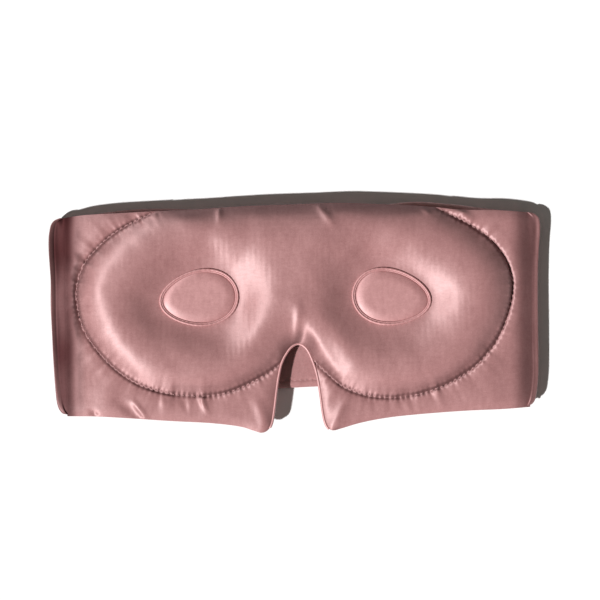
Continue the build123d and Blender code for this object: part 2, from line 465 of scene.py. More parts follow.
def threadMaterial(name, colour, roughness=0.5):
    constants = {"Sheen Weight": 0.3, "Specular IOR Level": 0.5}
    material, start, shader = newMaterial(name, colour, roughness, constants)
    twist = bands(start, "DIAGONAL", 900.0, 1.0)
    dye(start, shader, twist, [0.72 * c for c in colour], colour)
    emboss(start, shader, twist, 0.5, 0.0001)
    return material


def fluffMaterial(name, dark, light, scale=700.0):
    # matt cloth and wadding
    material, start, shader = newMaterial(name, light, 0.9, {"Sheen Weight": 0.4, "Specular IOR Level": 0.2})
    fibre = speckle(start, start.make("ShaderNodeTexCoord", out=3), scale, 6.0, 0.7)
    dye(start, shader, fibre, dark, light)
    feed(0.8 + 0.2 * fibre, shader, "Roughness")
    emboss(start, shader, fibre, 0.6, 0.0003)
    return material


def ribMaterial(name, dark, light):
    # knitted elastic, ribbed along the strap
    material, start, shader = newMaterial(name, light, 0.75, {"Sheen Weight": 0.3, "Specular IOR Level": 0.3})
    rib, knit = bands(start, "Y", 120.0, 0.3), bands(start, "X", 260.0)
    height = 0.7 * rib + 0.3 * knit
    dye(start, shader, height, dark, light)
    feed(0.65 + 0.2 * knit, shader, "Roughness")
    emboss(start, shader, height, 0.7, 0.0004)
    return material


def tapeMaterial(name, dark, light, roughness):
    # base and hooks or loops of the fastener
    material, start, shader = newMaterial(name, light, roughness, {"Specular IOR Level": 0.5})
    grain = speckle(start, start.make("ShaderNodeTexCoord", out=3), 1500.0, 3.0)
    dye(start, shader, grain, dark, light)
    feed(roughness - 0.1 + 0.2 * grain, shader, "Roughness")
    emboss(start, shader, grain, 0.3, 0.0001)
    return material


materials = {
    "satin": satinMaterial("rose_satin"),
    "eyeSatin": satinMaterial("eye_satin", tint=1.22, roughness=0.68, bump=0.1, coat=0.8),
    "piping": satinMaterial("piping_satin", tint=1.25, roughness=0.6, bump=0.08),
    "binding": satinMaterial("binding_satin", tint=1.3, roughness=0.55, bump=0.08, coat=1.0),
    "thread": threadMaterial("rose_thread", (0.50, 0.27, 0.265)),
    "wadding": fluffMaterial("wadding_fluff", (0.62, 0.58, 0.52), (0.85, 0.82, 0.77)),
    "blackout": fluffMaterial("blackout_cloth", (0.008, 0.008, 0.01), (0.02, 0.02, 0.024), 2200.0),
    "elastic": ribMaterial("knitted_elastic", (0.5, 0.46, 0.42), (0.82, 0.78, 0.73)),
    "hooks": tapeMaterial("hook_tape", (0.26, 0.10, 0.10), (0.4, 0.19, 0.18), 0.45),
    "loops": tapeMaterial("loop_tape", (0.3, 0.12, 0.12), (0.5, 0.26, 0.25), 0.8),
}


def addCloth(piece, across=None):
    # the cloth's own coordinates, in metres, so that the weave runs with the sheet
    layer = piece.data.uv_layers.new(name="cloth")
    loopVertex = readAll(piece.data.loops, "vertex_index", 1, np.int32).ravel()
    if across is None:
        across = places(piece)[:, :2]
    layer.data.foreach_set("uv", np.asarray(across)[loopVertex].ravel().astype(np.float32))


# painted shade: the satin's colour is darkened where shade falls, over the steep turned sides, on steep
# slopes of the padding and in the quilting groove
turned = {
    "from": 94.5,  # distances from the middle
    "full": 103.5,
    "right": 0.42,  # share of the painted shade on the right side
    "rim": (2.4, 0.8),  # distances from the outer edge, where the painted shade eases off to stand in for light bounced from the floor
    "rimShare": 0.5,
    "steep": (0.5, 1.2),  # slopes between which painted shade darkens a steep side
    "steepShare": 0.42,
    "seam": 0.75,  # half width of the painted shade along the quilting groove
    "seamShare": 0.42,
}


def addPaintedShade(piece, arc=None):
    # paints shade into the turn attribute; arc is the distance of each point to the quilting line, where the
    # groove gets painted shade too
    x, y = (places(piece) / mm).T[:2]
    edge = np.where(x < 0, edgeAt(-1, y), edgeAt(1, y))
    turn = ease((np.abs(x) - turned["from"]) / (turned["full"] - turned["from"]))
    far, near = turned["rim"]
    turn *= 1 - (1 - turned["rimShare"]) * ease((far - (edge - np.abs(x))) / (far - near))
    turn *= np.where(x < 0, 1, turned["right"]) * (0.9 + 0.25 * ripple(x, y, 0.05, 7.3))
    if arc is not None:
        nx, ny, nz = readAll(piece.data.vertex_normals, "vector", 3).T
        slope = np.hypot(nx, ny) / np.clip(np.abs(nz), 0.1, 1)
        least, most = turned["steep"]
        turn = np.maximum(turn, turned["steepShare"] * ease((slope - least) / (most - least)))
        pulled = np.exp(-((arc / turned["seam"]) ** 2)) * (1 + 0.6 * ripple(x, y, 0.3, 2.2))
        turn = np.maximum(turn, turned["seamShare"] * pulled)
    # the turn attribute carries the painted shade to the satin material
    layer = piece.data.attributes.new("turn", "FLOAT", "POINT")
    layer.data.foreach_set("value", np.clip(turn, 0, 1).astype(np.float32))


def thicken(piece, thickness=0.35):
    solid = piece.modifiers.new("cloth thickness", "SOLIDIFY")
    solid.thickness = thickness * mm
    solid.offset = -1


def sharpSides(piece):
    # the side edges are sewn to the folds, so their shading isn't rounded over
    sharp = piece.data.attributes.new("sharp_edge", "BOOLEAN", "EDGE")
    limit = (size["foldX"] - 0.01) * mm
    atSide = np.abs(places(piece)[:, 0]) > limit
    ends = readAll(piece.data.edges, "vertices", 2, np.int32)
    sharp.data.foreach_set("value", atSide[ends].all(axis=1))


def hexGrid(spacing):
    rows = np.arange(-52, 53, spacing * 0.866)
    points = []
    for k, y in enumerate(rows):
        xs = np.arange(-size["foldX"], size["foldX"], spacing) + (k % 2) * spacing / 2
        points.append(np.stack([xs, np.full(len(xs), y)], axis=1))
    return np.vstack(points)


def besideLine(line, offsets):
    # copies of a line shifted to its left by each offset
    along = np.gradient(line, axis=0)
    along /= np.linalg.norm(along, axis=1)[:, None]
    normal = np.stack([-along[:, 1], along[:, 0]], axis=1)
    return np.vstack([line + normal * d for d in offsets])


def layTriangles(loops, extra, keep):
    # Delaunay triangles over closed loops and loose points, kept where keep(centres) is true
    points, edges = [], []
    for loop in loops:
        first = len(points)
        points += [tuple(p) for p in loop]
        edges += [(first + k, first + (k + 1) % len(loop)) for k in range(len(loop))]
    points += [tuple(p) for p in extra]
    made = geometry.delaunay_2d_cdt([Vector(p) for p in points], edges, [], 0, 1e-4)
    flat = np.array([tuple(v) for v in made[0]])
    triangles = np.array([f for f in made[2] if len(f) == 3])
    used, triangles = onlyUsed(triangles[keep(flat[triangles].mean(axis=1))])
    flat = flat[used]
    a, b, c = flat[triangles[:, 0]], flat[triangles[:, 1]], flat[triangles[:, 2]]
    turn = (b[:, 0] - a[:, 0]) * (c[:, 1] - a[:, 1]) - (b[:, 1] - a[:, 1]) * (c[:, 0] - a[:, 0])
    triangles[turn < 0] = triangles[turn < 0][:, ::-1]
    return flat, triangles


eyeHoles = [lines["leftEye"], lines["rightEye"]]


def frontSheet(spacing, fine, holes):
    grid = hexGrid(spacing)
    grid = grid[inside(grid, outline)]
    plan = Plan(grid)
    edgeBand = 1.9 if fine else spacing * 0.5
    clear = (plan.free > edgeBand) & (np.abs(grid[:, 0]) < size["foldX"] - 0.5 * spacing)
    if fine:
        clear &= plan.arc > 2.3
    if holes:
        clear &= (plan.eye > 0.5 * spacing) & ~plan.inEye
    loose = [grid[clear]]
    if fine:
        arcs = [evenly(lines[k], front["fineSpacing"]) for k in ("leftArc", "rightArc")]
        beside = np.vstack([besideLine(a, [-2.0, -1.45, -0.95, -0.5, 0, 0.5, 0.95, 1.45, 2.0]) for a in arcs])
        rim = np.vstack([besideLine(lines["chin"], [0.15, 0.45, 0.95, 1.5]),
                         besideLine(lines["top"], [-0.15, -0.45, -0.95, -1.5])])
        beside = beside[inside(beside, outline)]
        besidePlan = Plan(beside)
        loose.append(beside[(besidePlan.free > 1.7) & (np.abs(beside[:, 0]) < size["foldX"] - 0.4)])
        rim = rim[inside(rim, outline) & (np.abs(rim[:, 0]) < size["foldX"] - 0.3)]
        loose.append(rim)
    chinY, topY = lines["chin"][:, 1], lines["top"][:, 1]
    sides = [np.stack([np.full(130, sign * size["foldX"]), np.linspace(a, b, 132)[1:-1]], axis=1)
             for sign, a, b in ((1, chinY[-1], topY[-1]), (-1, topY[0], chinY[0]))]
    loop = np.vstack([lines["chin"], sides[0], lines["top"][::-1], sides[1]])
    loops = [loop] + (eyeHoles if holes else [])

    def keep(centres):
        kept = inside(centres, loop)
        for hole in eyeHoles if holes else []:
            kept &= ~inside(centres, hole)
        return kept

    return layTriangles(loops, np.vstack(loose), keep)


# cloth laid over the foam, a little larger than it, and blown up between its seams
settle = {"spacing": 2.4, "excess": 0.012, "pressure": 3.0, "frames": 22, "cap": 1.6, "calm": 3,
          "keepHigh": 0.9}


def settleCloth():
    step = settle["spacing"]
    xs = np.arange(-size["foldX"], size["foldX"] + step, step)
    ys = np.arange(-53, 54, step)
    flat, cells = squareGrid(xs, ys)
    drift = np.zeros((len(flat), 3))
    plan = Plan(flat)
    cells = cells[inside(flat, outline)[cells].all(axis=1)]
    used, cells = onlyUsed(cells)
    rest = np.column_stack([flat, foam(plan)])[used]
    cloth = meshPiece("settling_cloth", rest, cells)
    held = np.exp(-(np.minimum(plan.arc, plan.eye) / 1.6) ** 2)
    held = np.maximum(held, np.where(plan.inEye | (plan.free < 3.0), 1, 0))
    held = np.maximum(held, np.abs(flat[:, 0]) > size["foldX"] - 3)[used]
    pins = cloth.vertex_groups.new(name="seams")
    for k, weight in enumerate(held):
        if weight > 0.02:
            pins.add([k], float(weight), "REPLACE")
    worked = cloth.modifiers.new("settle", "CLOTH")
    wanted = {"quality": 6, "mass": 0.1, "tension_stiffness": 20, "compression_stiffness": 20,
              "shear_stiffness": 8, "bending_stiffness": 0.15, "air_damping": 2,
              "shrink_min": -settle["excess"], "use_pressure": True,
              "uniform_pressure_force": settle["pressure"], "vertex_group_mass": "seams", "pin_stiffness": 5}
    for setting, value in wanted.items():
        setattr(worked.settings, setting, value)
    worked.settings.effector_weights.gravity = 0
    worked.collision_settings.use_collision = False
    worked.point_cache.frame_end = settle["frames"]
    for f in range(1, settle["frames"] + 1):
        bpy.context.scene.frame_set(f)
    moved = places(cloth.evaluated_get(bpy.context.evaluated_depsgraph_get())) / mm - rest
    reach = np.linalg.norm(moved, axis=1)
    moved *= np.minimum(1, settle["cap"] / np.maximum(reach, 1e-9))[:, None]
    drift[used] = moved
    drift = drift.reshape(len(ys), len(xs), 3)
    for _ in range(settle["calm"]):  # the cloth's own bending evens out creases narrower than a cell
        for axis in (0, 1):
            drift = 0.5 * drift + 0.25 * (np.roll(drift, 1, axis) + np.roll(drift, -1, axis))
    bpy.data.objects.remove(cloth)
    bpy.context.scene.frame_set(1)
    print("cloth settled, it moved up to", round(float(reach.max()), 2), "mm")
    return xs, ys, drift


settled = settleCloth()


def driftAt(flat):
    xs, ys, drift = settled
    step = settle["spacing"]
    fx = np.clip((flat[:, 0] - xs[0]) / step, 0, len(xs) - 1.001)
    fy = np.clip((flat[:, 1] - ys[0]) / step, 0, len(ys) - 1.001)
    ix, iy = fx.astype(int), fy.astype(int)
    tx, ty = ease(fx - ix)[:, None], ease(fy - iy)[:, None]
    low = drift[iy, ix] * (1 - tx) + drift[iy, ix + 1] * tx
    high = drift[iy + 1, ix] * (1 - tx) + drift[iy + 1, ix + 1] * tx
    return low * (1 - ty) + high * ty


# creases that the sewing and the handling leave in the satin
creases = [
    # from, to, half width, height
    ((0.6, 4.5), (-1.0, -13.4), 1.9, 0.8),
    ((-0.4, 5.5), (21, -31), 3.0, 0.65),
    ((15.3, -50.0), (21.5, -36.5), 2.4, 0.9),
    ((-80.6, -36.7), (-70.6, -44.8), 2.3, -1.0),
    ((-74.5, -36.6), (-67.9, -45.3), 1.2, 0.7),
    ((-93.2, -40.8), (-91, -43.6), 1.4, -0.8),
    ((-34.4, 50.0), (-34.6, 43.5), 1.2, 0.5),
    ((9.8, 51.0), (17, 41), 1.7, 0.6),
    ((73.0, 47.6), (79.5, 42.0), 1.9, 0.9),
    ((-44.4, -34.8), (-40.6, -43.0), 1.1, 0.6),
    ((-52.0, -35.3), (-50.5, -42.0), 1.3, -0.4),
    ((-61.0, -34.5), (-60.5, -41.0), 1.5, 0.35),
    ((-13.5, -50.0), (-19.5, -36.0), 2.4, 0.6),
    ((48, -37), (50, -43.5), 1.4, 0.35),
    ((35, -37.5), (34, -44.0), 1.6, -0.35),
    ((57, 49.0), (60, 45.5), 1.2, 0.5),
    ((-71, 47.4), (-65, 41), 1.6, 0.4),
]


def satinHeight(flat, plan):
    z = foam(plan)
    x, y = flat[:, 0], flat[:, 1]
    z += driftAt(flat)[:, 2] * settle["keepHigh"]
    # slack of the cloth, larger on the padding than on the wings
    slack = np.where(plan.inPad, 1.0, 0.55) * ease(plan.free / 5) * ease(plan.arc / 4)
    z += slack * (0.42 * ripple(x, y, 0.055, 3.1) + 0.16 * ripple(x, y, 0.14, 8.7))
    # puckers run away from the sewn line and die out
    s = plan.arcAlong
    gather = np.array([noise.noise((a * 0.19, b * 0.02, 1.7)) for a, b in zip(s, plan.arc)])
    finer = np.array([noise.noise((a * 0.42, 5.2, b * 0.03)) for a, b in zip(s, plan.arc)])
    fade = np.exp(-plan.arc / np.where(plan.inPad, 3.2, 5.0)) * ease(plan.arc / 0.8) * ease(plan.free / 2)
    z += fade * (0.75 * gather + 0.45 * finer)
    # each stitch pulls the line down, and the satin stands up a little between two of them
    beat = 0.5 + 0.5 * np.cos(2 * math.pi * s / stitching["pitch"])
    line = np.exp(-((plan.arc / 0.75) ** 2)) * ease(plan.free / 1.2)
    z -= stitching["depth"] * line * (0.35 + 0.65 * beat)
    z += 0.16 * np.exp(-(((plan.arc - 1.3) / 0.8) ** 2)) * (1 - beat) * ease(plan.free / 2)
    for (ax, ay), (bx, by), width, height in creases:
        near, along = nearest(flat, np.array([(ax, ay), (bx, by)]))
        length = math.hypot(bx - ax, by - ay)
        taper = np.sin(math.pi * np.clip(0.12 + 0.8 * along / length, 0, 1))
        z += height * taper * np.exp(-((near / width) ** 2)) * ease(plan.free / 1.5 + 0.25)
    return z


flat, triangles = frontSheet(front["spacing"], True, True)
plan = Plan(flat)
height = satinHeight(flat, plan)
drift = driftAt(flat)
shifted = flat + 0.3 * drift[:, :2] * ease(plan.free / 3)[:, None]
faceSatin = meshPiece("face_cover", np.column_stack([shifted, height]), triangles)
addCloth(faceSatin)
# painted shade on the turned sides, steep slopes and along the quilting groove
addPaintedShade(faceSatin, plan.arc)
sharpSides(faceSatin)
thicken(faceSatin)
faceSatin.data.materials.append(materials["satin"])
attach(faceSatin, "front")
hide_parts("face_satin")
print("face satin", len(triangles), "triangles")


def finish(piece, material, body, nodes):
    # what every piece needs: its material, the body it rides on and the nodes it stands for
    piece.data.materials.clear()
    piece.data.materials.append(materials[material])
    if body:
        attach(piece, body)
    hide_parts(*([nodes] if isinstance(nodes, str) else nodes))
    return piece


# the outer satin, on the side that faces away from the wearer
def outerHeight(flat, plan, upper):
    droop = roll["top"] - rollHeight(plan.x, plan.y)
    droop = np.where(plan.inPad, droop * ease(1 - plan.arc / 3), droop)
    beneath = size["under"] - droop
    beneath += 0.5 * np.exp(-((plan.arc / 1.2) ** 2)) + 0.12 * ripple(plan.x, plan.y, 0.1, 4.4)
    nearEdge = np.sqrt(np.clip(plan.free / 2.6, 0, 1))
    return (upper - 0.35) * (1 - nearEdge) + beneath * nearEdge


flat, triangles = frontSheet(1.5, False, False)
plan = Plan(flat)
beneath = outerHeight(flat, plan, satinHeight(flat, plan))
outerSatin = meshPiece("outer_cover", np.column_stack([flat, beneath]), triangles[:, ::-1])
addCloth(outerSatin)
sharpSides(outerSatin)
thicken(outerSatin)
finish(outerSatin, "satin", "front", "outer_satin")
flatSheet = (2 * size["foldX"] * mm, float(np.ptp(flat[:, 1])) * mm)
print("outer satin", len(triangles), "triangles")


# everything between the two satins: closed pieces made of square columns, smoothed
def filling(name, within, low, high, material, node, step=2.0):
    flat, cells = squareGrid(np.arange(-size["foldX"] + 0.5, size["foldX"], step), np.arange(-52, 53, step))
    used, cells = onlyUsed(cells[within(flat, Plan(flat))[cells].all(axis=1)])
    spot = Plan(flat[used])
    top, bottom = high(flat[used], spot), low(flat[used], spot)
    top = np.maximum(top, bottom + 0.2)
    count = len(used)
    faces = [tuple(c) for c in cells] + [tuple(c[::-1] + count) for c in cells]
    sides = [(a, b) for c in cells for a, b in zip(c, np.roll(c, -1))]
    shared = {(b, a) for a, b in sides}
    faces += [(b, a, a + count, b + count) for a, b in sides if (a, b) not in shared]
    points = np.vstack([np.column_stack([flat[used], top]), np.column_stack([flat[used], bottom])])
    piece = meshPiece(name, points, faces)
    return finish(piece, material, "front", node)


def satinOver(flat, plan):
    return foam(plan) - 1.3


def satinBelow(flat, plan):
    droop = np.where(plan.inPad, 0, roll["top"] - rollHeight(plan.x, plan.y))
    return size["under"] - droop + 0.5


def overLining(flat, plan):
    return satinBelow(flat, plan) + 0.5


def clear(flat, plan, free, arc):
    # away from the outer edge and from the quilting line
    return inside(flat, outline) & (plan.free > free) & (plan.arc > arc)


core = filling("foam_pad", lambda f, p: clear(f, p, 2.5, 2.2) & p.inPad & (p.eye > 1.5) & ~p.inEye,
               overLining, satinOver, "wadding", "pad_core")
for side, sign in (("left", -1), ("right", 1)):
    wadding = filling(side + "_wing_batting",
                      lambda f, p: clear(f, p, 2.4, 1.6) & ~p.inPad & (sign * f[:, 0] > 9),
                      overLining, satinOver, "wadding", side + "_wing_wadding")
    pillow = filling(side + "_eye_batting", lambda f, p: p.inEye & (p.eye > 1.2) & (sign * f[:, 0] > 0),
                     overLining, lambda f, p: size["eyeFloor"] - 0.2 + crown(p.eye, 7.0, 0.6),
                     "wadding", side + "_eye_wadding", step=1.5)
blackout = filling("blackout_lining", lambda f, p: inside(f, outline) & (p.free > 2.6), satinBelow,
                   lambda f, p: satinBelow(f, p) + 0.25, "blackout", "blackout_cloth")
print("wadding and blackout cloth made")


# eye panels and the piping round them
eyePanel = {"inset": 0.7, "dome": 1.15, "reach": 5.0, "pipe": 0.55, "flange": 0.4}


def ringTube(path, radius, segments=10, flatten=1.0):
    # a closed tube along a closed path of 3-D points
    ahead = np.roll(path, -1, axis=0) - np.roll(path, 1, axis=0)
    ahead /= np.linalg.norm(ahead, axis=1)[:, None]
    up = np.array([0, 0, 1.0])
    sideways = np.cross(ahead, up)
    sideways /= np.linalg.norm(sideways, axis=1)[:, None]
    upward = np.cross(sideways, ahead)
    a = np.linspace(0, 2 * math.pi, segments, endpoint=False)
    radius = np.broadcast_to(np.asarray(radius, float), (len(path),))
    points = (path[:, None] + radius[:, None, None] * (np.cos(a)[None, :, None] * sideways[:, None]
              + flatten * np.sin(a)[None, :, None] * upward[:, None]))
    number = np.arange(len(path) * segments).reshape(len(path), segments)
    after, turn = np.roll(number, -1, axis=0), np.roll(number, -1, axis=1)
    faces = np.stack([number, turn, np.roll(after, -1, axis=1), after], axis=-1).reshape(-1, 4)
    return points.reshape(-1, 3), faces


def openTube(path, radius, segments=10, flatten=1.0):
    longer = np.vstack([path, 2 * path[-1:] - path[-2:-1]])
    points, faces = ringTube(longer, radius, segments, flatten)
    last, total = (len(path) - 1) * segments, len(path) * segments
    faces = [f for f in faces if max(f) < total and not (min(f) < segments and max(f) >= last)]
    faces += [tuple(range(segments))[::-1], tuple(range(last, total))]
    return points[:total], faces


def eyeLoop(side, beyond, height):
    # a closed path round an eye panel
    line = evenly(eggLine(side, beyond, 240), 0.5, closed=True)
    return np.column_stack([line, np.full(len(line), height)])


for side in ("left", "right"):
    centre = np.array(eyes[side]["centre"])
    rim = eggLine(side, -eyePanel["inset"], 120)
    shares = np.concatenate([np.linspace(0.0, 0.6, 7)[1:], np.linspace(0.66, 1.0, 12)])
    points, faces = [(*centre, size["eyeFloor"] + 0.3 + eyePanel["dome"])], []
    for share in shares:
        ring = centre + (rim - centre) * share
        d = (1 - share) * np.linalg.norm(rim - centre, axis=1)
        z = size["eyeFloor"] + 0.3 + crown(d, eyePanel["reach"], eyePanel["dome"])
        z -= 0.35 * np.exp(-((d / 0.35) ** 2))
        z += 0.10 * ripple(ring[:, 0], ring[:, 1], 0.12, 6.0) * ease(d / 3)
        points += [(x, y, h) for (x, y), h in zip(ring, z)]
    count = len(rim)
    faces += [(0, 1 + k, 1 + (k + 1) % count) for k in range(count)]
    for level in range(len(shares) - 1):
        a, b = 1 + level * count, 1 + (level + 1) * count
        faces += [(a + k, b + k, b + (k + 1) % count, a + (k + 1) % count) for k in range(count)]
    panel = meshPiece(side + "_eye_cloth", points, faces)
    pointOut(panel, upwards=True)
    addCloth(panel)
    thicken(panel, 0.3)
    finish(panel, "eyeSatin", "front", side + "_eye_panel")
    long, short = 2 * eyes["halfLong"] * mm, 2 * eyes["halfShort"] * mm
    0.72 * long * short
    pipeHeight = size["eyeFloor"] + 0.62
    cordLine = eyeLoop(side, 0.15, pipeHeight)
    wobble = 1 + 0.05 * np.cos(2 * math.pi * 46 * (np.arange(len(cordLine)) / len(cordLine)))
    outer, outerFaces = ringTube(cordLine, eyePanel["pipe"] * wobble)
    inner, innerFaces = ringTube(eyeLoop(side, -0.6, pipeHeight - 0.18), eyePanel["flange"], 8)
    piping = meshPiece(side + "_eye_cord", np.vstack([outer, inner]),
                       [tuple(f) for f in outerFaces] + [tuple(f + len(outer)) for f in innerFaces])
    addCloth(piping)
    finish(piping, "piping", "front", side + "_eye_piping")
print("eye panels and piping made")

# the turned edge of the nose notch
edgePath = np.array([p for p in lines["chin"] if abs(p[0]) < 13.6])
edgePath3 = np.column_stack([edgePath, np.full(len(edgePath), shape["edge"] - 0.15)])
edgePath3[:, 2] += 0.12 * np.array([noise.noise((k * 0.08, 2.0, 0.5)) for k in range(len(edgePath))])
points, faces = openTube(edgePath3, 0.62, 8, 1.1)
binding = meshPiece("notch_edge", points, faces)
addCloth(binding)
finish(binding, "binding", "front", "notch_binding")


# the four edges of the two straps, seen from above, from the fold to the far end
straps = {
    "left": {"top": [(-104.2, 46.5), (-80, 49.6), (-64, 50.4), (-45, 49.8), (0, 48.5), (24, 48)],
             "bottom": [(-104.2, -41), (-60, -38), (-20, -33), (0, -31.7), (24, -31)]},
    "right": {"top": [(104.2, 46), (75, 49.7), (55, 51.6), (40, 50.6), (16, 49)],
              "bottom": [(104.2, -40), (60, -37), (16, -32)]},
    "edgeRound": 3.0,
    "hem": 3.3,
    "climbFrom": 86.0,
    "climbTo": 73.0,
}


def strapEdge(side, which, x):
    line = softLine(straps[side][which])
    line = line[np.argsort(line[:, 0])]
    return np.interp(x, line[:, 0], line[:, 1])


def strapEnds(side):
    # x at its fold and at its far end
    return straps[side]["top"][0][0], straps[side]["top"][-1][0]


def strapBase(side, x):
    # the right strap climbs onto the end of the left one
    if side == "left":
        return np.zeros_like(x)
    return size["upperStrap"] * ease((straps["climbFrom"] - x) / (straps["climbFrom"] - straps["climbTo"]))


def rounded(free, reach):
    # 0 at an edge, 1 from reach inwards, on a quarter circle
    return np.sqrt(1 - (1 - np.clip(free / reach, 0, 1)) ** 2)


def gridFaces(rows, columns):
    number = np.arange(rows * columns).reshape(rows, columns)
    faces = [number[:-1, :-1], number[1:, :-1], number[1:, 1:], number[:-1, 1:]]
    return np.stack(faces, axis=-1).reshape(-1, 4)


def strapSkin(side, upper):
    sign = -1 if side == "left" else 1
    start, end = strapEnds(side)
    nearEnd = np.array([0, 0.12, 0.4, 0.85, 1.4, 2.2, 3.0])
    x = np.concatenate([np.arange(start, end + sign * 3.6, -sign * 0.75), end + sign * nearEnd[::-1]])
    low, high = strapEdge(side, "bottom", x), strapEdge(side, "top", x)
    nearHem = [0, 0.12, 0.4, 0.85, 1.4, 2.0, 2.5, 2.9, 3.3, 3.7, 4.2, 5.0]
    inner = np.concatenate([nearHem, np.linspace(6.2, 40, 24)])
    half = (high - low) / 2
    fromEdge = np.where(inner[None] < 6, inner[None], 5 + (inner[None] - 5) * (half[:, None] - 5) / 35)
    y = np.concatenate([low[:, None] + fromEdge, high[:, None] - fromEdge[:, -2::-1]], axis=1)
    fromEdge = np.concatenate([fromEdge, fromEdge[:, -2::-1]], axis=1)
    xx = np.broadcast_to(x[:, None], y.shape)
    free = np.minimum(fromEdge, np.abs(xx - end))
    middle = size["strap"] / 2
    puff = rounded(free, straps["edgeRound"])
    slack = ease((free - 4) / 8) * ease(np.abs(xx - start) / 6)
    wave = ripple(xx.ravel() + (300 if upper else 0), y.ravel(), 0.045, 2.2).reshape(y.shape)
    beat = 0.5 + 0.5 * np.cos(2 * math.pi * xx / stitching["pitch"])
    groove = 0.45 * np.exp(-(((fromEdge - straps["hem"]) / 0.5) ** 2)) * (0.5 + 0.5 * beat)
    groove *= ease((np.abs(xx - end) - 2) / 2)
    z = middle * puff - groove - 0.35 * np.abs(wave) * slack
    z = strapBase(side, xx) + middle + (z if upper else -z)
    points = np.stack([xx, y, z], axis=-1).reshape(-1, 3)
    faces = gridFaces(len(x), y.shape[1])
    if upper != (side == "left"):
        faces = faces[:, ::-1]
    kind = "outer" if upper else "face"
    skin = meshPiece(side + "_strap_" + kind + "_cloth", points, faces)
    addCloth(skin)
    thicken(skin, 0.3)
    finish(skin, "satin", side + "_strap", side + "_strap_" + kind + "_satin")


def slab(name, side, x, low, high, bottom, top, material, node):
    # a closed band with knitted ribs along it
    v = np.linspace(0, 1, 61)
    y = low[:, None] + (high - low)[:, None] * v[None]
    xx = np.broadcast_to(x[:, None], y.shape)
    ribs = 0.12 * np.cos(v * math.pi * 60)[None] * np.ones_like(y)
    up = np.stack([xx, y, strapBase(side, xx) + top + ribs - 0.12], axis=-1).reshape(-1, 3)
    down = np.stack([xx, y, strapBase(side, xx) + bottom - ribs + 0.12], axis=-1).reshape(-1, 3)
    faces = gridFaces(len(x), len(v))
    count = len(up)
    number = np.arange(count).reshape(len(x), len(v))
    rim = np.concatenate([number[:, 0], number[-1, 1:], number[-2::-1, -1], number[0, -2:0:-1]])
    after = np.roll(rim, -1)
    walls = np.stack([rim, after, after + count, rim + count], axis=-1)
    piece = meshPiece(name, np.vstack([up, down]), np.vstack([faces, faces[:, ::-1] + count, walls]))
    pointOut(piece)
    return finish(piece, material, side + "_strap", node)


for side in ("left", "right"):
    sign = -1 if side == "left" else 1
    for upper in (True, False):
        strapSkin(side, upper)
    start, end = strapEnds(side)
    bandX = np.linspace(start, end + sign * 4, 60)
    bandLow, bandHigh = strapEdge(side, "bottom", bandX) + 4.2, strapEdge(side, "top", bandX) - 4.2
    band = slab(side + "_strap_band", side, bandX, bandLow, bandHigh, 0.75, 2.25, "elastic",
                side + "_strap_elastic")
print("straps made")


# the folds, where each strap turns under its wing: a flattened sleeve laid round the fold
folds = {
    "steps": 44,
    "rows": 84,
    "from": 103.0,  # where the sleeve starts, from the middle
    "lift": 0.02,  # how far it lies outside the front's own satins
    "sunk": 0.14,  # how much lower its first ring lies, so that it ends under the face satin
    "toShoulder": 0.4,
    "toNose": 0.6,
    "frontWall": 3.2,
    "noseWall": 1.9,
    "slack": 0.3,
}


def bow(corners, t):
    # a curve from the first (x, z) corner to the last, pulled towards the two between
    weights = [(1 - t) ** 3, 3 * t * (1 - t) ** 2, 3 * t * t * (1 - t), t**3]
    return [sum(w * c[k] for w, c in zip(weights, corners)) for k in (0, 1)]


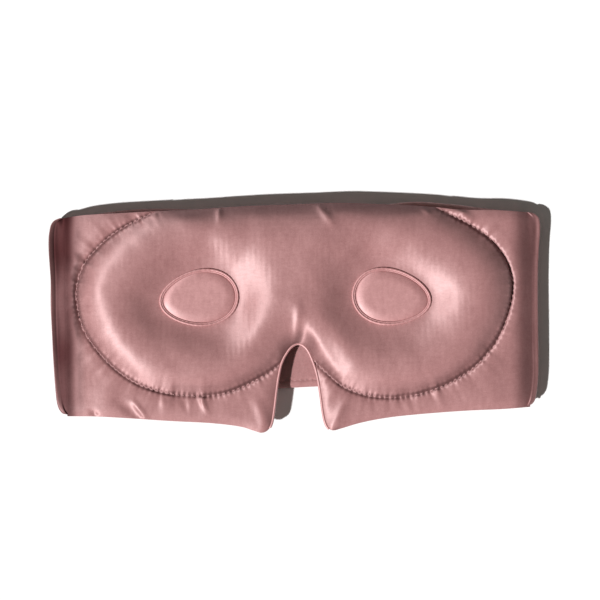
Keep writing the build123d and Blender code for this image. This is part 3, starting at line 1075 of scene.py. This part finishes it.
def foldPiece(side):
    sign = -1 if side == "left" else 1
    s = np.linspace(0, 1, folds["steps"])[:, None]
    v = (0.5 - 0.5 * np.cos(np.linspace(0, math.pi, folds["rows"])))[None]
    end = 0 if side == "left" else -1
    frontLow, frontHigh = lines["chin"][end][1], lines["top"][end][1]
    strapX = abs(strapEnds(side)[0])
    strapLow, strapHigh = straps[side]["bottom"][0][1], straps[side]["top"][0][1]
    low = frontLow + (strapLow - frontLow) * ease(s)
    high = frontHigh + (strapHigh - frontHigh) * ease(s)
    y = low + (high - low) * v
    edge = edgeAt(sign, y)
    # down the wing, round the nose and back along the strap
    shoulder = edge - roll["nose"]
    t = np.clip(s / folds["toShoulder"], 0, 1)
    x = folds["from"] + (shoulder - folds["from"]) * t
    z = rollHeight(x, y)
    fall = (rollHeight(shoulder + 0.1, y) - rollHeight(shoulder - 0.1, y)) / 0.2
    t = np.clip((s - folds["toShoulder"]) / (folds["toNose"] - folds["toShoulder"]), 0, 1)
    shoulderZ = rollHeight(shoulder, y)
    curve = bow([(shoulder, shoulderZ), (shoulder + 1.2, shoulderZ + 1.2 * fall),
                 (edge, roll["noseHeight"] + 0.9), (edge, roll["noseHeight"])], t)
    x, z = [np.where(s > folds["toShoulder"], new, old) for new, old in zip(curve, (x, z))]
    t = np.clip((s - folds["toNose"]) / (1 - folds["toNose"]), 0, 1)
    curve = bow([(edge, roll["noseHeight"]), (edge, 2.2), (edge - 2.2, 0), (strapX, 0)], t)
    x, z = [np.where(s > folds["toNose"], new, old) for new, old in zip(curve, (x, z))]
    dx, dz = np.gradient(x, axis=0), np.gradient(z, axis=0)
    length = np.hypot(dx, dz) + 1e-9
    nx, nz = -dz / length, dx / length
    startShare, endShare = ease(1 - s / 0.2), ease((s - 0.85) / 0.15)
    nx = nx * (1 - startShare) * (1 - endShare)
    nz = nz * (1 - startShare) * (1 - endShare) + startShare - endShare
    length = np.hypot(nx, nz) + 1e-9
    nx, nz = nx / length, nz / length
    wall = folds["frontWall"] + (size["strap"] - folds["frontWall"]) * s
    wall = wall - (wall - folds["noseWall"]) * np.exp(-(((s - folds["toNose"]) / 0.2) ** 2))
    free = np.minimum(y - low, high - y)
    puff = rounded(free, straps["edgeRound"] + 0.6 * (1 - s))
    slack = folds["slack"] * ease(s / 0.2) * ease((1 - s) / 0.2) * ease(free / 6)
    crumple = ripple((y + 0 * s).ravel() * 0.9, (30 * s + 0 * y).ravel(), 0.07, 5.0 + sign)
    swell = wall / 2 * puff + crumple.reshape(y.shape) * slack
    middleX, middleZ = x - nx * wall / 2, z - nz * wall / 2
    outerX, outerZ = middleX + nx * swell, middleZ + nz * swell
    innerX, innerZ = middleX - nx * wall / 2 * puff, middleZ - nz * wall / 2 * puff
    # over the wing it lies on the front's own two satins
    full = np.broadcast_to(x, y.shape)
    heldX, heldY = sign * np.minimum(full, size["foldX"]), np.clip(y, frontLow + 0.02, frontHigh - 0.02)
    held = np.stack([heldX.ravel(), heldY.ravel()], axis=1)
    heldPlan = Plan(held)
    topZ = satinHeight(held, heldPlan)
    lowZ = outerHeight(held, heldPlan, topZ).reshape(y.shape) - folds["lift"]
    sunk = folds["sunk"] * (1 - ease((full - folds["from"]) / (size["foldX"] - folds["from"])))
    topZ = topZ.reshape(y.shape) + folds["lift"] - sunk
    beyond = rollHeight(full, y) - rollHeight(np.minimum(full, size["foldX"]), y)
    share = (1 - ease((full - size["foldX"]) / 3.5)) * (s <= folds["toShoulder"])
    outerX = share * full + (1 - share) * outerX
    innerX = share * full + (1 - share) * innerX
    outerZ = np.maximum(share * (topZ + beyond) + (1 - share) * outerZ, 0.02)
    innerZ = np.maximum(share * (lowZ + beyond) + (1 - share) * innerZ, 0.05)
    outer = np.stack([sign * outerX, y, outerZ], axis=-1)
    inner = np.stack([sign * innerX, y, innerZ], axis=-1)
    rings = np.concatenate([outer, inner[:, ::-1]], axis=1)
    around = rings.shape[1]
    number = np.arange(rings.shape[0] * around).reshape(rings.shape[0], around)
    after = np.roll(number, -1, axis=1)
    faces = np.stack([number[:-1], after[:-1], after[1:], number[1:]], axis=-1).reshape(-1, 4)
    faces = [tuple(f) for f in faces]
    for row in (0, -1):  # the ends, where the sleeve meets the front and the strap
        ring = number[row]
        half = around // 2
        faces += [(ring[k], ring[k + 1], ring[around - 2 - k], ring[around - 1 - k]) for k in range(half - 1)]
    fold = meshPiece(side + "_turned_fold", rings.reshape(-1, 3), faces)
    bm = bmesh.new()
    bm.from_mesh(fold.data)
    caps = len(faces) - 2 * (around // 2 - 1)
    bm.faces.ensure_lookup_table()
    for face in bm.faces[caps:]:
        face.smooth = False
        for edge in face.edges:
            edge.smooth = False
    bmesh.ops.remove_doubles(bm, verts=bm.verts, dist=2e-6)
    bm.to_mesh(fold.data)
    bm.free()
    pointOut(fold)
    place = places(fold)
    # the cloth's own length round the fold stands in for x
    unrolled = np.abs(place[:, 0]) + 0.5 * (0.0105 - place[:, 2])
    # painted shade over the steep turned side
    addPaintedShade(fold)
    addCloth(fold, np.stack([sign * unrolled, place[:, 1]], axis=1))
    finish(fold, "satin", None, side + "_fold")
    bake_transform(fold)


for side in ("left", "right"):
    foldPiece(side)
print("folds made")


# Geometry Nodes for what repeats
def newTree(name, inputs):
    # a tree with its named inputs, its group input wires and a function that ends it
    tree = bpy.data.node_groups.new(name, "GeometryNodeTree")
    inputs = inputs + [("Seed", "Int", 1), ("Material", "Material", None)]
    for label, kind, value in inputs:
        socket = tree.interface.new_socket(label, in_out="INPUT", socket_type="NodeSocket" + kind)
        if value is not None:
            socket.default_value = value
    tree.interface.new_socket("Geometry", in_out="OUTPUT", socket_type="NodeSocketGeometry")
    entry = tree.nodes.new("NodeGroupInput")
    sockets = {label: Wire(tree, entry.outputs[label]) for label, _, _ in inputs}

    def end(instances):
        real = instances.make("GeometryNodeRealizeInstances", {}, {"Geometry": instances})
        smooth = real.make("GeometryNodeSetShadeSmooth", {}, {"Geometry": real})
        painted = smooth.make("GeometryNodeSetMaterial", {},
                              {"Geometry": smooth, "Material": sockets["Material"]})
        last = tree.nodes.new("NodeGroupOutput")
        tree.links.new(painted.socket, last.inputs["Geometry"])
        return tree

    return sockets, end


def grow(name, holder, tree, values):
    # runs a tree on a holder mesh and keeps the result as a plain mesh
    pattern = holder.modifiers.new("pattern", "NODES")
    pattern.node_group = tree
    for item in tree.interface.items_tree:
        if item.item_type == "SOCKET" and item.in_out == "INPUT" and item.name in values:
            pattern[item.identifier] = values[item.name]
    graph = bpy.context.evaluated_depsgraph_get()
    mesh = bpy.data.meshes.new_from_object(holder.evaluated_get(graph), depsgraph=graph)
    bpy.data.objects.remove(holder)
    mesh.name = name
    return addObject(name, mesh)


def triple(start, **parts):
    return start.make("ShaderNodeCombineXYZ", {}, parts)


def chance(start, low, high, seed):
    wanted = {2: low, 3: high, "Seed": seed}
    return start.make("FunctionNodeRandomValue", {"data_type": "FLOAT"}, wanted, out=1)


def chances(start, low, high, seed):
    wanted = {0: low, 1: high, "Seed": seed}
    return start.make("FunctionNodeRandomValue", {"data_type": "FLOAT_VECTOR"}, wanted)


def plot(start, given, across, along):
    return start.make("GeometryNodeMeshGrid", {}, {"Size X": given["Width"], "Size Y": given["Depth"],
                                                   "Vertices X": across, "Vertices Y": along})


def strand(start, first, over, last, corners, radius):
    # a thin rod bent over between two points
    bent = start.make("GeometryNodeCurveQuadraticBezier", {},
                      {"Resolution": 6, "Start": first, "Middle": over, "End": last})
    ring = start.make("GeometryNodeCurvePrimitiveCircle", {"mode": "RADIUS"},
                      {"Resolution": corners, "Radius": radius})
    return start.make("GeometryNodeCurveToMesh", {},
                      {"Curve": bent, "Profile Curve": ring, "Fill Caps": True})


def planted(start, given, spots, one, **turnAndScale):
    every = start.make("GeometryNodeInstanceOnPoints", {}, {"Points": spots, "Instance": one, **turnAndScale})
    return start.make("GeometryNodeTransform", {}, {"Geometry": every, "Translation": given["Place"]})


def stitchTree():
    given, end = newTree("stitch_row", [
        ("Path", "Geometry", None), ("Length", "Float", 0.0016), ("Thread", "Float", 0.0004),
        ("Wander", "Float", 0.08), ("Uneven", "Float", 0.12)])
    start, thread = given["Path"], given["Thread"]
    path = start.make("GeometryNodeMeshToCurve", {}, {"Mesh": start})
    tangent = start.make("GeometryNodeInputTangent")
    ahead = start.make("FunctionNodeAlignRotationToVector", {"axis": "X"}, {"Vector": tangent})
    low = triple(start, Z=0.0 - given["Wander"], Y=0.0 - given["Wander"])
    high = triple(start, Z=given["Wander"], Y=given["Wander"])
    sway = chances(start, low, high, given["Seed"])
    swayTurn = start.make("FunctionNodeEulerToRotation", {}, {0: sway})
    turn = start.make("FunctionNodeRotateRotation", {"rotation_space": "LOCAL"}, {0: ahead, 1: swayTurn})
    spread = chance(start, 1.0 - given["Uneven"], 1.0 + given["Uneven"], given["Seed"] + 5.0)
    stretch = triple(start, X=given["Length"] * spread, Y=thread, Z=thread)
    bead = start.make("GeometryNodeMeshUVSphere", {}, {"Segments": 8, "Rings": 6, "Radius": 0.5})
    row = start.make("GeometryNodeInstanceOnPoints", {}, {"Points": path, "Instance": bead, "Rotation": turn,
                                                         "Scale": stretch})
    return end(row)


def hookTree():
    given, end = newTree("hook_field", [
        ("Width", "Float", 0.03), ("Depth", "Float", 0.04), ("Across", "Int", 24), ("Along", "Int", 30),
        ("Height", "Float", 0.0009), ("Wire", "Float", 0.00012), ("Place", "Vector", (0, 0, 0))])
    start, tall = given["Width"], given["Height"]
    field = plot(start, given, given["Across"], given["Along"])
    tip, over = triple(start, X=tall * 0.7, Z=tall * 0.45), triple(start, X=tall * 0.35, Z=tall * 1.9)
    hook = strand(start, (0, 0, 0), over, tip, 5, given["Wire"])
    half = start.maths("MODULO", start.make("GeometryNodeInputIndex"), 2.0)
    sway = chance(start, -0.25, 0.25, given["Seed"])
    turn = triple(start, X=0.3 * sway, Z=half * math.pi + sway)
    return end(planted(start, given, field, hook, Rotation=turn))


def loopTree():
    given, end = newTree("loop_field", [
        ("Width", "Float", 0.03), ("Depth", "Float", 0.04), ("Count", "Float", 800000.0),
        ("Height", "Float", 0.0009), ("Fibre", "Float", 0.00007), ("Place", "Vector", (0, 0, 0))])
    start, tall, seed = given["Width"], given["Height"], given["Seed"]
    spots = start.make("GeometryNodeDistributePointsOnFaces", {"distribute_method": "RANDOM"},
                       {"Mesh": plot(start, given, 2, 2), "Density": given["Count"], "Seed": seed})
    left, right = triple(start, X=tall * -0.45), triple(start, X=tall * 0.45)
    loop = strand(start, left, triple(start, Z=tall * -1.9), right, 4, given["Fibre"])
    turn = chances(start, (-0.4, -0.4, 0.0), (0.4, 0.4, 6.28), seed)
    return end(planted(start, given, spots, loop, Rotation=turn, Scale=chance(start, 0.6, 1.1, seed)))


trees = {"stitch": stitchTree(), "hook": hookTree(), "loop": loopTree()}


def stitchRows(name, paths, body, node, thread=stitching["thread"], seed=3, loose=1.0):
    # one piece of thread from several rows; each point of a path is the middle of a stitch
    edges, first = [], 0
    for path in paths:
        edges += [(first + k, first + k + 1) for k in range(len(path) - 1)]
        first += len(path)
    holder = meshPiece(name + "_path", np.vstack(paths), [], edges)
    values = {"Length": stitching["long"] * mm, "Thread": thread * mm, "Seed": seed, "Wander": 0.08 * loose,
              "Uneven": 0.12 * loose, "Material": materials["thread"]}
    return finish(grow(name, holder, trees["stitch"], values), "thread", body, node)


def everyPitch(line, pitch):
    # points of a line at its half pitches, found along its own length
    gaps = np.linalg.norm(np.diff(line, axis=0), axis=1)
    along = np.concatenate([[0], np.cumsum(gaps)])
    wanted = np.arange(0.5 * pitch, along[-1], pitch)
    return np.stack([np.interp(wanted, along, line[:, k]) for k in range(line.shape[1])], axis=1)


for side in ("left", "right"):
    path = everyPitch(lines[side + "Arc"], stitching["pitch"])
    spots = Plan(path)
    path = path[inside(path, outline) & (spots.free > 0.6)]
    height = satinHeight(path, Plan(path))
    # some stitches sink deeper into the groove than others
    sink = 0.3 * ripple(*path.T, 0.4, 6.1) + 0.16 * ripple(*path.T, 0.03, 3.3)
    stitchRows(side + "_quilting_stitches", [np.column_stack([path, height - 0.02 + sink])], "front",
               side + "_quilting_thread", seed=3 if side == "left" else 4, loose=3.5)
    sign = -1 if side == "left" else 1
    pitch, hem = stitching["pitch"], straps["hem"]
    start, far = strapEnds(side)
    x = np.round(start / pitch) * pitch - sign * np.arange(0.5 * pitch, abs(start - far) - 3.5, pitch)
    x = x[np.abs(x - far) > 3.2]
    rowHeight = strapBase(side, x) + size["strap"] - 0.2
    rows = [np.column_stack([x, strapEdge(side, "bottom", x) + hem, rowHeight]),
            np.column_stack([x, strapEdge(side, "top", x) - hem, rowHeight])]
    y = np.arange(strapEdge(side, "bottom", far) + 5, strapEdge(side, "top", far) - 4, pitch)
    endX = np.full(len(y), far + sign * 3.0)
    rows.append(np.column_stack([endX, y, strapBase(side, endX) + size["strap"] + 0.02]))
    stitchRows(side + "_hem_stitches", rows, side + "_strap", side + "_strap_hem_thread", seed=5)
print("stitches made")


# the closure: a tab on the left strap with hooks, and loops under the right strap
closure = {"root": 21.0, "bendFrom": 22.8, "bendTo": 27.0, "corner": 5.0, "border": 2.0}


def roundedPatch(low, high, corner, count=8):
    # outline of a rectangle with round corners
    centres = [(high[0] - corner, high[1] - corner), (low[0] + corner, high[1] - corner),
               (low[0] + corner, low[1] + corner), (high[0] - corner, low[1] + corner)]
    angles = np.linspace(0, math.pi / 2, count)
    points = []
    for k, (cx, cy) in enumerate(centres):
        a = angles + k * math.pi / 2
        points += list(zip(cx + corner * np.cos(a), cy + corner * np.sin(a)))
    return np.array(points)


def plumpPatch(name, low, high, corner, bottom, top, edge, bump=0.0, spacing=1.2):
    # a closed flat pad with softly rounded edges, laid as a Delaunay sheet above and below
    loop = evenly(roundedPatch(low, high, corner), spacing, closed=True)
    grid, _ = squareGrid(np.arange(low[0], high[0], spacing), np.arange(low[1], high[1], spacing))
    closed = np.vstack([loop, loop[:1]])
    near, _ = nearest(grid, closed)
    grid = grid[inside(grid, loop) & (near > 0.55 * spacing)]
    centre = loop.mean(axis=0)
    rings = [centre + (loop - centre) * (1 - d / 22) for d in (0.15, 0.45)]
    flat, triangles = layTriangles([loop], np.vstack([grid] + rings), lambda c: inside(c, loop))
    near, _ = nearest(flat, closed)
    half = (top - bottom) / 2
    puff = rounded(near, edge)
    lumps = bump * ripple(flat[:, 0], flat[:, 1], 0.12, 9.0) * ease(near / 4)
    groove = 0.12 * np.exp(-(((near - closure["border"]) / 0.45) ** 2)) if bump else 0
    above = bottom + half + half * puff - groove + lumps - abs(bump)
    below = np.maximum(bottom + half - half * puff, bottom)
    count = len(flat)
    faces = [tuple(t) for t in triangles] + [tuple(t[::-1] + count) for t in triangles]
    points = np.vstack([np.column_stack([flat, above]), np.column_stack([flat, below])])
    patch = meshPiece(name, points, faces)
    pointOut(patch, merge=2e-5)
    return patch


def rectangleRow(low, high, height, pitch):
    loop = roundedPatch(low, high, 1.0, 4)
    line = np.vstack([loop, loop[:1]])
    flat = everyPitch(line, pitch)
    return np.column_stack([flat, np.full(len(flat), height)])


tabLow, tabHigh = boxMm("closure_tab")
tab = plumpPatch("closure_tab_cloth", (closure["root"], tabLow[1]), tabHigh[:2], closure["corner"],
                 tabLow[2] + 0.02, tabHigh[2] + 0.1, 1.1, 0.1)
addCloth(tab)
finish(tab, "satin", None, "closure_tab")
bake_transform(tab)

for kind, body, material, seed in (("hook", "closure_tab", "hooks", 7), ("loop", "right_strap", "loops", 11)):
    low, high = boxMm(kind + "_patch")
    wide, deep = high[0] - low[0], high[1] - low[1]
    faceUp = kind == "hook"
    baseLow, baseHigh = (low[2], low[2] + 0.45) if faceUp else (high[2] - 0.45, high[2])
    tape = plumpPatch(kind + "_tape_base", low[:2], high[:2], 2.2, baseLow, baseHigh, 0.5)
    finish(tape, material, body, kind + "_patch")
    surface = baseHigh if faceUp else baseLow
    middle = ((low[0] + high[0]) / 2 * mm, (low[1] + high[1]) / 2 * mm, surface * mm)
    values = {"Width": (wide - 5) * mm, "Depth": (deep - 5) * mm, "Place": middle, "Seed": seed,
              "Material": materials[material], "Height": 0.45 * mm if faceUp else 0.42 * mm}
    field = grow(kind + "_field", meshPiece(kind + "_field", [], []), trees[kind], values)
    finish(field, material, body, kind + "_patch")
    inset = 1.3
    row = rectangleRow(low[:2] + inset, high[:2] - inset, surface, stitching["pitch"])
    stitchRows(kind + "_tape_stitches", [row], body, kind + "_patch_thread", thread=0.34, seed=seed)
print("closure made")


# plain pale floor, key light from the lower left, weak fill and the camera above
studio = {
    "floor": 3000.0,  # half its side
    "keyFrom": (-7.2, -5.0, 9.5),
    "keyPower": 4.9,
    "keyAngle": 2.5,
    "fill": (0.122, 0.114, 0.104),
    "distance": 1.3,
    "across": 0.270,  # width of the view at the height of the wings
    "aim": (0.00128, 0.00797),
    "roll": -0.83,
}
reach = studio["floor"]
corners = [(-reach, -reach, 0), (reach, -reach, 0), (reach, reach, 0), (-reach, reach, 0)]
floor = meshPiece("pale_floor", corners, [(0, 1, 2, 3)])
floorMaterial, _, _ = newMaterial("pale_paper", (0.85, 0.85, 0.85), 0.8, {"Specular IOR Level": 0.1})
floor.data.materials.append(floorMaterial)

key = addObject("key", bpy.data.lights.new("key", "SUN"))
key.data.energy = studio["keyPower"]
key.data.angle = math.radians(studio["keyAngle"])
key.rotation_euler = (-Vector(studio["keyFrom"])).to_track_quat("-Z", "Y").to_euler()

world = bpy.data.worlds.new("studio")
world.use_nodes = True
world.node_tree.nodes["Background"].inputs["Color"].default_value = (*studio["fill"], 1)
bpy.context.scene.world = world

camera = addObject("camera", bpy.data.cameras.new("camera"))
camera.data.sensor_width = 36
camera.data.lens = camera.data.sensor_width * (studio["distance"] - size["wing"] * mm) / studio["across"]
camera.location = (*studio["aim"], studio["distance"])
camera.rotation_euler = (0, 0, math.radians(studio["roll"]))
bpy.context.scene.camera = camera
bpy.context.scene.view_settings.view_transform = "Standard"
